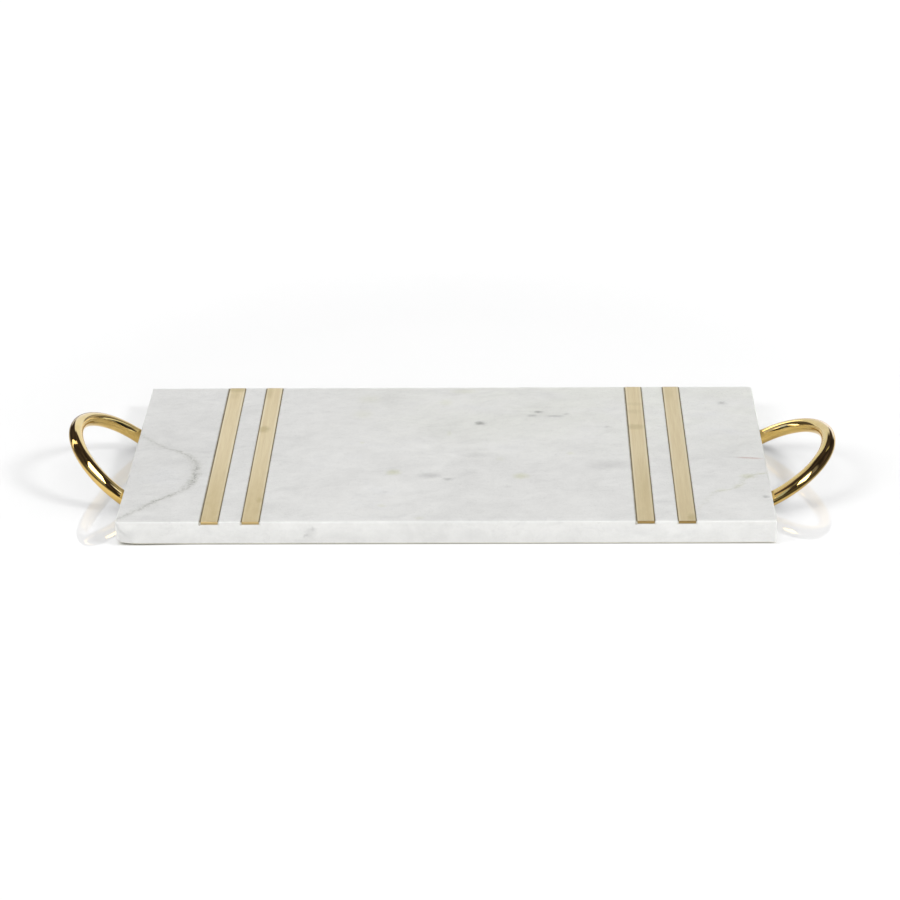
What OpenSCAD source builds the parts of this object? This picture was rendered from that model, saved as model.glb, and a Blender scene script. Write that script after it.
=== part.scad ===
// Marble vanity tray: a flat slab with four brass inlay strips set flush in
// open grooves, and a half-ring rod handle pinned into each end face.
// Millimetres. X runs along the slab from the left handle to the right one,
// Y runs from the front edge to the rear edge, and Z points up.
// The origin is the middle of the slab's footprint, on the surface it stands on.

/* [Slab] */
// Length of the marble slab along X, without the handles
slab_length = 400; // [360:5:460]
// Width of the marble slab along Y
slab_width = 200; // [170:5:240]
// Thickness of the marble slab
slab_thickness = 15; // [14:0.5:20]
// Width of the small chamfer that eases every edge of the slab
edge_ease = 0.6; // [0.3:0.1:1]

/* [Brass inlay] */
// Width of each brass strip
strip_width = 10.5; // [8:0.5:14]
// Thickness of each brass strip
strip_thickness = 1.8; // [1.2:0.1:3]
// Distance between the centre lines of the two strips of a pair
strip_pitch = 25; // [18:0.5:36]
// Distance from the middle of the slab to the middle of the left pair
left_pair_distance = 130.5; // [110:0.5:150]
// Distance from the middle of the slab to the middle of the right pair
right_pair_distance = 133.5; // [110:0.5:150]
// Width of the adhesive line that shows on each side of a strip
joint_line = 0.5; // [0.2:0.1:0.8]
// Thickness of the adhesive bed under a strip
bed_thickness = 0.2; // [0.1:0.1:0.5]

/* [Handles] */
// Diameter of the round handle rod
rod_diameter = 9; // [7:0.5:10]
// Radius of the half ring, to the centre line of the rod
ring_radius = 45; // [35:1:55]
// Height of the handle pins above the underside of the slab
pin_height = 6; // [6:0.5:7]
// Upward tilt of the left handle, in degrees
left_tilt = 39; // [20:1:42]
// Upward tilt of the right handle, in degrees
right_tilt = 29; // [20:1:42]
// Distance of the left handle's middle from the slab's middle, towards the front
left_offset = 6; // [0:1:20]
// Distance of the right handle's middle from the slab's middle, towards the front
right_offset = 8; // [0:1:20]

/* [Handle pins] */
// Diameter of the steel pin that holds each end of a handle
pin_diameter = 4; // [3:0.5:4]
// Depth of the pin's socket in the end of the handle
socket_depth = 4; // [3:0.5:4]
// Length of the pin inside the slab
pin_depth = 26; // [15:1:40]
// Thickness of the epoxy around the pin and behind its tip
epoxy_gap = 1; // [0.5:0.25:1.5]

/* [Feet] */
// Diameter of each round foot pad
foot_diameter = 12; // [8:1:20]
// Thickness of each foot pad
pad_thickness = 0.8; // [0.5:0.1:3]
// Thickness of the adhesive film that holds a foot pad
film_thickness = 0.2; // [0.1:0.1:0.5]
// Distance from the slab's edges to the centre of a foot
foot_inset = 20; // [12:1:40]

/* [Hidden] */
$fn = 96;

left = -1;
right = 1;
front = -1;
rear = 1;

foot_height = pad_thickness + film_thickness;
slab_top = foot_height + slab_thickness;
end_face = slab_length / 2;
pin_z = foot_height + pin_height;
rod_radius = rod_diameter / 2;

groove_width = strip_width + 2 * joint_line;
strip_floor = slab_top - strip_thickness;
groove_floor = strip_floor - bed_thickness;

left_outer_x = -left_pair_distance - strip_pitch / 2;
left_inner_x = -left_pair_distance + strip_pitch / 2;
right_inner_x = right_pair_distance - strip_pitch / 2;
right_outer_x = right_pair_distance + strip_pitch / 2;

// How far a cutting tool runs past the surface that it cuts
overshoot = 2;
// How far a handle is swept past its half turn before it is cut, in degrees
sweep_overrun = 10;

marble_color = [0.90, 0.90, 0.88];
brass_color = [0.82, 0.73, 0.52];
adhesive_color = [0.42, 0.40, 0.32];
gold_color = [0.86, 0.66, 0.30];
steel_color = [0.62, 0.63, 0.65];
epoxy_color = [0.85, 0.82, 0.70];
pad_color = [0.88, 0.88, 0.86];
film_color = [0.75, 0.78, 0.80];

// A rectangle with its four corners cut off at 45 degrees
module eased_rectangle(width, height, ease) {
    polygon([
        [-width / 2 + ease, -height / 2],
        [width / 2 - ease, -height / 2],
        [width / 2, -height / 2 + ease],
        [width / 2, height / 2 - ease],
        [width / 2 - ease, height / 2],
        [-width / 2 + ease, height / 2],
        [-width / 2, height / 2 - ease],
        [-width / 2, -height / 2 + ease]
    ]);
}

// The slab's outer shape: a block with every edge eased
module slab_block() {
    translate([0, 0, foot_height + slab_thickness / 2])
    intersection() {
        linear_extrude(slab_thickness, center = true)
            eased_rectangle(slab_length, slab_width, edge_ease);
        rotate([90, 0, 90])
            linear_extrude(slab_length, center = true)
                eased_rectangle(slab_width, slab_thickness, edge_ease);
        rotate([90, 0, 0])
            linear_extrude(slab_width, center = true)
                eased_rectangle(slab_length, slab_thickness, edge_ease);
    }
}

// A bar that runs across the whole slab and up past its top
module cross_bar(x, width, floor_z) {
    height = slab_top + overshoot - floor_z;
    translate([x, 0, floor_z + height / 2])
        cube([width, slab_width + 2 * overshoot, height], center = true);
}

// Signed Y position of one end of a handle
function handle_end_y(offset, end) = -offset + end * ring_radius;

// A round bar along X that starts inside the slab and ends outside its end face
module end_bar(side, offset, end, radius, inside, outside) {
    translate([side * end_face, handle_end_y(offset, end), pin_z])
    rotate([0, side * 90, 0])
    translate([0, 0, -inside])
        cylinder(r = radius, h = inside + outside);
}

module marble_slab() {
    color(marble_color)
    difference() {
        slab_block();
        for (x = [left_outer_x, left_inner_x, right_inner_x, right_outer_x])
            cross_bar(x, groove_width, groove_floor);
        for (end = [front, rear]) {
            end_bar(left, left_offset, end, pin_diameter / 2 + epoxy_gap,
                pin_depth + epoxy_gap, overshoot);
            end_bar(right, right_offset, end, pin_diameter / 2 + epoxy_gap,
                pin_depth + epoxy_gap, overshoot);
        }
    }
}

// A brass strip, ground flush with the slab's top, front and rear faces
module strip(x) {
    color(brass_color)
    intersection() {
        cross_bar(x, strip_width, strip_floor);
        slab_block();
    }
}

// The adhesive between a strip and its groove, shaped like a shallow channel
module strip_adhesive(x) {
    color(adhesive_color)
    intersection() {
        difference() {
            cross_bar(x, groove_width, groove_floor);
            cross_bar(x, strip_width, strip_floor);
        }
        slab_block();
    }
}

// A half ring of round rod that rises outwards from an end face of the slab.
// It is swept a little past the half turn, cut flat against the face, and
// drilled for the pins.
module handle(side, tilt, offset) {
    color(gold_color)
    difference() {
        translate([side * end_face, -offset, pin_z])
        mirror([side < 0 ? 1 : 0, 0, 0])
        rotate([0, -tilt, 0])
        rotate([0, 0, -90 - sweep_overrun])
        rotate_extrude(angle = 180 + 2 * sweep_overrun)
        translate([ring_radius, 0])
            circle(r = rod_radius);
        translate([side * (end_face - ring_radius / 2), -offset, pin_z])
            cube([ring_radius, 3 * ring_radius, 2 * ring_radius], center = true);
        for (end = [front, rear])
            end_bar(side, offset, end, pin_diameter / 2, overshoot, socket_depth);
    }
}

// A steel pin, half in the handle's socket and half in the slab
module handle_pin(side, offset, end) {
    color(steel_color)
        end_bar(side, offset, end, pin_diameter / 2, pin_depth, socket_depth);
}

// The epoxy sleeve that fills the slab's hole around a pin
module pin_epoxy(side, offset, end) {
    color(epoxy_color)
    difference() {
        end_bar(side, offset, end, pin_diameter / 2 + epoxy_gap,
            pin_depth + epoxy_gap, 0);
        end_bar(side, offset, end, pin_diameter / 2, pin_depth, overshoot);
    }
}

// A disc at one of the slab's four feet
module foot_disc(side, end, diameter, low_z, thickness) {
    translate([side * (end_face - foot_inset), end * (slab_width / 2 - foot_inset), low_z])
        cylinder(r = diameter / 2, h = thickness);
}

module foot(side, end) {
    color(pad_color)
        foot_disc(side, end, foot_diameter, 0, pad_thickness);
}

// The film is cut a little smaller than its pad
module foot_film(side, end) {
    color(film_color)
        foot_disc(side, end, foot_diameter - film_thickness, pad_thickness, film_thickness);
}

marble_slab();
strip(left_outer_x);  // left_outer_strip
strip(left_inner_x);  // left_inner_strip
strip(right_inner_x);  // right_inner_strip
strip(right_outer_x);  // right_outer_strip
strip_adhesive(left_outer_x);  // left_outer_adhesive
strip_adhesive(left_inner_x);  // left_inner_adhesive
strip_adhesive(right_inner_x);  // right_inner_adhesive
strip_adhesive(right_outer_x);  // right_outer_adhesive
handle(left, left_tilt, left_offset);  // left_handle
handle(right, right_tilt, right_offset);  // right_handle
handle_pin(left, left_offset, front);  // left_front_pin
handle_pin(left, left_offset, rear);  // left_rear_pin
handle_pin(right, right_offset, front);  // right_front_pin
handle_pin(right, right_offset, rear);  // right_rear_pin
pin_epoxy(left, left_offset, front);  // left_front_epoxy
pin_epoxy(left, left_offset, rear);  // left_rear_epoxy
pin_epoxy(right, right_offset, front);  // right_front_epoxy
pin_epoxy(right, right_offset, rear);  // right_rear_epoxy
foot(left, front);  // left_front_foot
foot(left, rear);  // left_rear_foot
foot(right, front);  // right_front_foot
foot(right, rear);  // right_rear_foot
foot_film(left, front);  // left_front_foot_film
foot_film(left, rear);  // left_rear_foot_film
foot_film(right, front);  // right_front_foot_film
foot_film(right, rear);  // right_rear_foot_film
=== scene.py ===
"""Looks of the marble vanity tray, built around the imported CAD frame.

X runs along the slab, Y towards the rear and Z up, in metres. The slab, the
strips, the adhesive and the materials are worked out in millimetres.
"""
import math

import bmesh
import bpy
import numpy as np
from mathutils import Matrix, Vector, noise


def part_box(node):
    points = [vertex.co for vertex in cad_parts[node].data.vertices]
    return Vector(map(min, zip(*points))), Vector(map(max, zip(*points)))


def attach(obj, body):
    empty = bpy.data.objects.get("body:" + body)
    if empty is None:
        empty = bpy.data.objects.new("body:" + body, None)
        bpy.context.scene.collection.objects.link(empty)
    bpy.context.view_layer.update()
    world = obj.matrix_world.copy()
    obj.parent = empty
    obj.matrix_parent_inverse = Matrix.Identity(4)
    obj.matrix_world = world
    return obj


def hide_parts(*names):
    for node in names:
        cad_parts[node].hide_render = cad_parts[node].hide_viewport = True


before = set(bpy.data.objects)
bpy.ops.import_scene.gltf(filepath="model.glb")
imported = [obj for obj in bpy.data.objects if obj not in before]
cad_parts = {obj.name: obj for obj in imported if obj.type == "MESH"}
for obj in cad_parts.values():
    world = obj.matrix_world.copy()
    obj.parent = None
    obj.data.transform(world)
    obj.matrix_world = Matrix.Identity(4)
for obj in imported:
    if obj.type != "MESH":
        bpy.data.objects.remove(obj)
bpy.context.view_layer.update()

MM = 0.001
BODY = "root"
STRIPS = ("left_outer", "left_inner", "right_inner", "right_outer")
CORNERS = ("left_front", "left_rear", "right_front", "right_rear")


# ---- frame
def box_mm(node):
    """The lowest and highest corners of a CAD node, in millimetres."""
    low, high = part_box(node)
    return np.array(low) / MM, np.array(high) / MM


SLAB_LOW_MM, SLAB_HIGH_MM = box_mm("marble_slab")
ADHESIVE_BOX_MM = {strip: box_mm(strip + "_adhesive") for strip in STRIPS}


# ---- noise
def wave(x, y, z, size_mm, seed):
    """Smooth noise from about -1 to 1 at a point in millimetres."""
    p = Vector((x / size_mm + 17.3 * seed, y / size_mm - 5.1 * seed, z / size_mm))
    return noise.noise(p)


# ---- meshes
SHARP_ANGLE = math.radians(32)
# Points that lie nearer to a plane than this are on it
ON_PLANE_MM = 1e-4


def new_object(name, verts, faces):
    """A mesh object from points in metres, smooth except at sharp edges."""
    mesh = bpy.data.meshes.new(name)
    mesh.from_pydata([tuple(map(float, v)) for v in verts], [], faces)
    mesh.validate()
    bm = bmesh.new()
    bm.from_mesh(mesh)
    bmesh.ops.recalc_face_normals(bm, faces=bm.faces)
    for face in bm.faces:
        face.smooth = True
    for edge in bm.edges:
        if len(edge.link_faces) == 2 and edge.calc_face_angle(0) > SHARP_ANGLE:
            edge.smooth = False
    bm.to_mesh(mesh)
    bm.free()
    ob = bpy.data.objects.new(name, mesh)
    bpy.context.scene.collection.objects.link(ob)
    return ob


def steps_from_edges(low, high, near, spacing):
    """Grid positions at the distances in near from both ends, and even in between."""
    inner = [low + d for d in near] + [high - d for d in near]
    start, end = low + near[-1], high - near[-1]
    count = max(1, round((end - start) / spacing))
    inner += [start + (end - start) * i / count for i in range(count + 1)]
    return sorted({round(v, 5) for v in inner})


def grid(low, high, *steps):
    """steps_from_edges along each axis, each with its near and spacing."""
    return [steps_from_edges(low[n], high[n], *step) for n, step in enumerate(steps)]


# The sides of a grid cell: the step to the neighbour, and the corners round the side
CELL_SIDES = (
    ((-1, 0, 0), ((0, 0, 0), (0, 0, 1), (0, 1, 1), (0, 1, 0))),
    ((1, 0, 0), ((1, 0, 0), (1, 1, 0), (1, 1, 1), (1, 0, 1))),
    ((0, -1, 0), ((0, 0, 0), (1, 0, 0), (1, 0, 1), (0, 0, 1))),
    ((0, 1, 0), ((0, 1, 0), (0, 1, 1), (1, 1, 1), (1, 1, 0))),
    ((0, 0, -1), ((0, 0, 0), (0, 1, 0), (1, 1, 0), (1, 0, 0))),
    ((0, 0, 1), ((0, 0, 1), (1, 0, 1), (1, 1, 1), (0, 1, 1))),
)


def full_block(xs, ys, zs):
    """Marks every cell between the grid positions as filled."""
    return np.ones((len(xs) - 1, len(ys) - 1, len(zs) - 1), bool)


def cell_mesh(xs, ys, zs, solid):
    """Points and quads of the outside of a block of grid cells.

    solid[i, j, k] says whether the cell between the grid positions is filled.
    """
    padded = np.pad(solid, 1)
    index, verts, faces = {}, [], []

    def point(i, j, k):
        if (i, j, k) not in index:
            index[i, j, k] = len(verts)
            verts.append((xs[i], ys[j], zs[k]))
        return index[i, j, k]

    for i, j, k in np.argwhere(solid):
        for (di, dj, dk), corners in CELL_SIDES:
            if not padded[i + 1 + di, j + 1 + dj, k + 1 + dk]:
                faces.append([point(i + ci, j + cj, k + ck) for ci, cj, ck in corners])
    return np.array(verts), faces


def round_edges(verts, low, high, radius):
    """Pulls the points near a block's edges onto rounded edges of radius(p)."""
    out = verts.copy()
    for n, p in enumerate(verts):
        r = radius(p)
        inner = np.clip(p, low + r, high - r)
        away = p - inner
        length = np.linalg.norm(away)
        if length > r:
            out[n] = inner + away * (r / length)
    return out


# ---- slab
# Distances of grid lines from the slab's faces and from a groove's walls, and how near
# a groove's walls and floor other grid lines may come
EDGE_NEAR_MM = (0, 0.12, 0.28, 0.5, 0.8, 1.2, 1.8, 2.6, 3.8, 5.5)
GROOVE_NEAR_MM = (0, 0.1, 0.35, 0.9)
WALL_CLEAR_MM, FLOOR_CLEAR_MM = 1.4, 0.15
EDGE_RADIUS_MM = 1.0
# The bottom of the front left corner is knocked off: extra edge radius, and reach
KNOCK_MM, KNOCK_REACH_MM = 3.2, 6.5
# How far past the slab's end the drill for a pin's hole reaches
DRILL_PROUD = 4 * MM
# Centre, extra edge radius and size of each chip along the edges
CHIPS_MM = (
    (-200, 88, 16, 0.7, 1.6), (-200, 52, 16, 0.5, 1.2), (-200, -64, 16, 0.4, 1.4),
    (-92, -100, 16, 0.35, 1.3), (18, -100, 16, 0.3, 1.1), (171, -100, 16, 0.4, 1.2),
    (200, 61, 16, 0.45, 1.3), (64, 100, 16, 0.4, 1.5), (-38, -100, 1, 0.6, 1.8),
    (109, -100, 1, 0.5, 1.6), (200, -100, 9, 0.5, 1.5), (200, 100, 16, 0.8, 1.8),
)


def edge_radius(p):
    """Radius of the slab's worn edges at p, in millimetres."""
    r = EDGE_RADIUS_MM + 0.3 * wave(*p, 23, 1) + 0.15 * wave(*p, 5, 2)
    r += KNOCK_MM * math.exp(-(np.linalg.norm(p - SLAB_LOW_MM) / KNOCK_REACH_MM) ** 2)
    for cx, cy, cz, depth, size in CHIPS_MM:
        d = math.dist(p, (cx, cy, cz))
        if d < 3 * size:
            r += depth * math.exp(-(d / size) ** 2)
    return r


def groove_wall(x, y):
    """How far a groove's wall strays from straight, in millimetres."""
    return 0.07 * wave(x, y, 0, 19, 3) + 0.05 * wave(x, y, 0, 4.5, 4)


def strip_side(x, y):
    """How far a strip's side strays from straight, in millimetres."""
    return 0.05 * wave(x, y, 0, 31, 5) + 0.02 * wave(x, y, 0, 7, 6)


def build_slab():
    """The slab with its four open grooves, its worn edges and the pins' holes."""
    low, high = SLAB_LOW_MM, SLAB_HIGH_MM
    grooves = [(a[0], b[0]) for a, b in ADHESIVE_BOX_MM.values()]
    floor_z = ADHESIVE_BOX_MM[STRIPS[0]][0][2]
    xs, ys, zs = grid(low, high, (EDGE_NEAR_MM, 5), (EDGE_NEAR_MM, 3), (EDGE_NEAR_MM[:8], 3))
    for a, b in grooves:
        xs = {x for x in xs if not a - WALL_CLEAR_MM < x < b + WALL_CLEAR_MM}
        xs |= {round(v, 5) for d in GROOVE_NEAR_MM for v in (a - d, b + d)}
        xs.add(round((a + b) / 2, 5))
    xs = sorted(xs)
    zs = sorted({z for z in zs if abs(z - floor_z) > FLOOR_CLEAR_MM} | {round(floor_z, 5)})
    middle_x = (np.array(xs[1:]) + np.array(xs[:-1])) / 2
    middle_z = (np.array(zs[1:]) + np.array(zs[:-1])) / 2
    solid = full_block(xs, ys, zs)
    for a, b in grooves:
        inside = (middle_x > a) & (middle_x < b)
        solid[np.ix_(inside, np.ones(len(ys) - 1, bool), middle_z > floor_z)] = False
    verts, faces = cell_mesh(xs, ys, zs, solid)
    walls = np.array([x for pair in grooves for x in pair])
    for v in verts:
        if np.min(abs(walls - v[0])) < ON_PLANE_MM and v[2] > floor_z - ON_PLANE_MM:
            v[0] += groove_wall(v[0], v[1])
    # A small worn bevel along the top of each groove
    for v in verts:
        if abs(v[2] - high[2]) < ON_PLANE_MM and np.min(abs(walls - v[0])) < 0.2:
            v[2] -= 0.05 + 0.05 * abs(wave(*v, 3, 7))
    verts = round_edges(verts, low, high, edge_radius)
    ob = new_object("polished_slab", verts * MM, faces)
    drill_pin_holes(ob)
    return ob


def drill_pin_holes(ob):
    """The four holes in the slab's ends that hold the handles' pins."""
    for corner in CORNERS:
        lo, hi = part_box(corner + "_epoxy")
        centre = (lo + hi) / 2
        radius = (hi.z - lo.z) / 2
        cutter = bpy.data.meshes.new("cutter")
        bm = bmesh.new()
        bmesh.ops.create_cone(
            bm, cap_ends=True, segments=48, radius1=radius, radius2=radius,
            depth=hi.x - lo.x + DRILL_PROUD, matrix=Matrix.Rotation(math.pi / 2, 4, "Y"),
        )
        bm.to_mesh(cutter)
        bm.free()
        tool = bpy.data.objects.new("cutter", cutter)
        outward = 1 if centre.x > 0 else -1
        tool.location = centre + Vector((outward * DRILL_PROUD / 2, 0, 0))
        bpy.context.scene.collection.objects.link(tool)
        cut = ob.modifiers.new("pin_hole", "BOOLEAN")
        cut.operation, cut.solver, cut.object = "DIFFERENCE", "EXACT", tool
        apply_modifiers(ob)
        bpy.data.objects.remove(tool)
        bpy.data.meshes.remove(cutter)


def apply_modifiers(ob):
    """Makes the modifiers' result the object's own mesh."""
    dg = bpy.context.evaluated_depsgraph_get()
    mesh = bpy.data.meshes.new_from_object(ob.evaluated_get(dg))
    ob.modifiers.clear()
    old = ob.data
    ob.data = mesh
    bpy.data.meshes.remove(old)


# ---- strips
# Sideways place of each strip in its groove
STRIP_SHIFT_MM = {
    "left_outer": 0.14, "left_inner": 0.04, "right_inner": 0.14, "right_outer": 0.02,
}
# A strip's edge radius, and how much more the last 3 mm at each end have
STRIP_EDGE_MM, STRIP_END_EDGE_MM, STRIP_END_MM = 0.16, 0.14, 3
# How far the adhesive's lines lie below the slab's top, at their sides and in their
# middle, and behind its long sides
LINE_SUNK_MM, LINE_SAG_MM, LINE_BEHIND_MM = 0.09, 0.16, 0.12


def build_strip(name):
    """A brass strip: a bar with slightly wavy sides and softened edges."""
    low, high = (corner + [STRIP_SHIFT_MM[name], 0, 0] for corner in box_mm(name + "_strip"))
    lines = grid(
        low, high, ((0, 0.08, 0.2, 0.4, 0.8, 1.6), 1.5), ((0, 0.1, 0.25, 0.5, 0.9, 1.6), 2.5),
        ((0, 0.08, 0.2, 0.4), 0.5))
    verts, faces = cell_mesh(*lines, full_block(*lines))
    flat = verts.copy()

    def radius(p):
        at_end = min(p[1] - low[1], high[1] - p[1]) < STRIP_END_MM
        return STRIP_EDGE_MM + (STRIP_END_EDGE_MM if at_end else 0) + 0.05 * wave(*p, 9, 8)

    verts = round_edges(verts, low, high, radius)
    half = (high[0] - low[0]) / 2
    for n, p in enumerate(flat):
        side = p[0] - (low[0] + half)
        wall_x = math.copysign(half, side) + low[0] + half
        verts[n][0] += strip_side(wall_x, p[1]) * abs(side) / half
        # The top waves a little below its CAD height
        if abs(p[2] - high[2]) < ON_PLANE_MM:
            verts[n][2] += 0.012 * wave(*p, 14, 9) - 0.006
    return new_object(name + "_inlay", verts * MM, faces)


def build_adhesive(name):
    """The adhesive round a strip: a thin bed, and two lines that reach almost to the top."""
    low, high = ADHESIVE_BOX_MM[name]
    s_low, s_high = box_mm(name + "_strip")
    shift = STRIP_SHIFT_MM[name]
    a, b = s_low[0] + shift, s_high[0] + shift
    xs = [low[0], (low[0] + a) / 2, a, (a + b) / 2, b, (b + high[0]) / 2, high[0]]
    ys = steps_from_edges(low[1], high[1], (0, 0.15, 0.4, 0.9, 1.6), 1.6)
    zs = [low[2], s_low[2], (s_low[2] + high[2]) / 2, high[2]]
    solid = full_block(xs, ys, zs)
    solid[2:4, :, 1:] = False
    verts, faces = cell_mesh(xs, ys, zs, solid)
    for v in verts:
        x, y, z = v
        if z > s_low[2] + ON_PLANE_MM:
            if min(abs(x - low[0]), abs(x - high[0])) < ON_PLANE_MM:
                v[0] += groove_wall(round(x, 5), y)
            elif min(abs(x - a), abs(x - b)) < ON_PLANE_MM:
                v[0] += strip_side(x, y)
        at_top = z > high[2] - ON_PLANE_MM
        if at_top:
            on_middle = min(abs(x - xs[1]), abs(x - xs[5])) < ON_PLANE_MM
            v[2] -= (LINE_SAG_MM if on_middle else LINE_SUNK_MM) + 0.05 * wave(x, y, z, 3, 10)
        end = min(y - low[1], high[1] - y)
        if end < ON_PLANE_MM:
            v[1] += math.copysign(LINE_BEHIND_MM, (low[1] + high[1]) / 2 - y)
        # The ends follow the slab's rounded edges
        rounding = 0.75 - min(end, high[2] - z + end) if at_top else 0
        if rounding > 0:
            v[2] -= rounding * 0.6
    return new_object(name + "_joint", verts * MM, faces)


# ---- handles
# Direction outwards along X, and the ring's upward tilt in degrees
HANDLES = {"left": (-1, 39.0), "right": (1, 29.0)}
RING_STEPS = 240
ROD_STEPS = 72


def build_handle(side):
    """A half ring of round rod, cut off where it meets the slab's end face."""
    outward, tilt_deg = HANDLES[side]
    tilt = math.radians(tilt_deg)
    pins = [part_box(f"{side}_{end}_pin") for end in ("front", "rear")]
    ends = [(lo + hi) / 2 for lo, hi in pins]
    ring = (ends[1].y - ends[0].y) / 2
    centre_y = (ends[1].y + ends[0].y) / 2
    centre_z = ends[0].z
    face_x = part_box("marble_slab")[1].x
    low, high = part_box(f"{side}_handle")
    rod = (high.y - low.y) / 2 - ring
    pin_r = (pins[0][1].z - pins[0][0].z) / 2
    socket = (pins[0][1].x if outward > 0 else -pins[0][0].x) - face_x
    ct, st = math.cos(tilt), math.sin(tilt)
    seed = 21 if outward < 0 else 34

    def place(theta, phi, r):
        """A point of the tube: theta runs round the ring, phi round the rod."""
        reach, up = ring + r * math.cos(phi), r * math.sin(phi)
        out, across = reach * math.cos(theta), reach * math.sin(theta)
        x = out * ct - up * st
        z = out * st + up * ct
        return np.array([outward * (face_x + x), centre_y + across, centre_z + z])

    def end_angle(phi):
        """Where a line along the rod meets the slab's end face."""
        up = rod * math.sin(phi)
        return math.acos(max(-1, min(1, up * st / ct / (ring + rod * math.cos(phi)))))

    verts, faces = [], []
    for i in range(RING_STEPS + 1):
        t = i / RING_STEPS
        for j in range(ROD_STEPS):
            phi = math.tau * j / ROD_STEPS
            theta = end_angle(phi) * (2 * t - 1)
            p = place(theta, phi, rod)
            # The rod is very slightly wavy, except near its ends
            fade = min(1, 6 * min(t, 1 - t)) if 0 < t < 1 else 0
            q = p / MM
            swell = 0.018 * wave(*q, 11, seed) + 0.008 * wave(*q, 4.5, seed + 1)
            verts.append(place(theta, phi, rod + fade * swell * MM))

    def at(i, j):
        return i * ROD_STEPS + j % ROD_STEPS

    for i in range(RING_STEPS):
        for j in range(ROD_STEPS):
            faces.append([at(i, j), at(i, j + 1), at(i + 1, j + 1), at(i + 1, j)])
    # Flat ends with a drilled socket for the pin
    for i, end in ((0, ends[0]), (RING_STEPS, ends[1])):
        rim = len(verts)
        for depth in (0, socket):
            for j in range(ROD_STEPS):
                outer = verts[at(i, j)]
                a = math.atan2(outer[2] - centre_z, outer[1] - end.y)
                y, z = end.y + pin_r * math.cos(a), centre_z + pin_r * math.sin(a)
                verts.append(np.array([outward * (face_x + depth), y, z]))
        for j in range(ROD_STEPS):
            k = (j + 1) % ROD_STEPS
            faces.append([at(i, j), at(i, k), rim + k, rim + j])
            faces.append([rim + j, rim + k, rim + ROD_STEPS + k, rim + ROD_STEPS + j])
        faces.append([rim + ROD_STEPS + j for j in range(ROD_STEPS)])
    return new_object(f"{side}_handle_rod", np.array(verts), faces)


# ---- feet
# Radius of a foot pad's rims
FOOT_EASE = 0.18 * MM


def build_foot(name):
    """A flat round pad with eased rims."""
    lo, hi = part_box(name + "_foot")
    centre = (lo + hi) / 2
    r, h = (hi.x - lo.x) / 2, hi.z - lo.z
    inner = r - FOOT_EASE
    angles = [math.radians(22.5 * n) for n in (1, 2, 3, 4)]
    arc = [(FOOT_EASE * math.sin(a), FOOT_EASE * math.cos(a)) for a in angles]
    profile = [(r * 0.5, 0), (inner, 0)]
    profile += [(inner + s, FOOT_EASE - c) for s, c in arc]
    profile += [(r, h - FOOT_EASE)]
    profile += [(inner + c, h - FOOT_EASE + s) for s, c in arc]
    profile += [(r * 0.5, h)]
    steps = 64
    verts = [(centre.x, centre.y, lo.z), (centre.x, centre.y, hi.z)]
    for px, pz in profile:
        for j in range(steps):
            a = math.tau * j / steps
            verts.append((centre.x + px * math.cos(a), centre.y + px * math.sin(a), lo.z + pz))
    rows = len(profile)
    last = 2 + (rows - 1) * steps
    faces = []
    for j in range(steps):
        k = (j + 1) % steps
        faces.append([0, 2 + k, 2 + j])
        faces.append([1, last + j, last + k])
        for i in range(rows - 1):
            a, b = 2 + i * steps, 2 + (i + 1) * steps
            faces.append([a + j, a + k, b + k, b + j])
    return new_object(name + "_pad", verts, faces)


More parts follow.
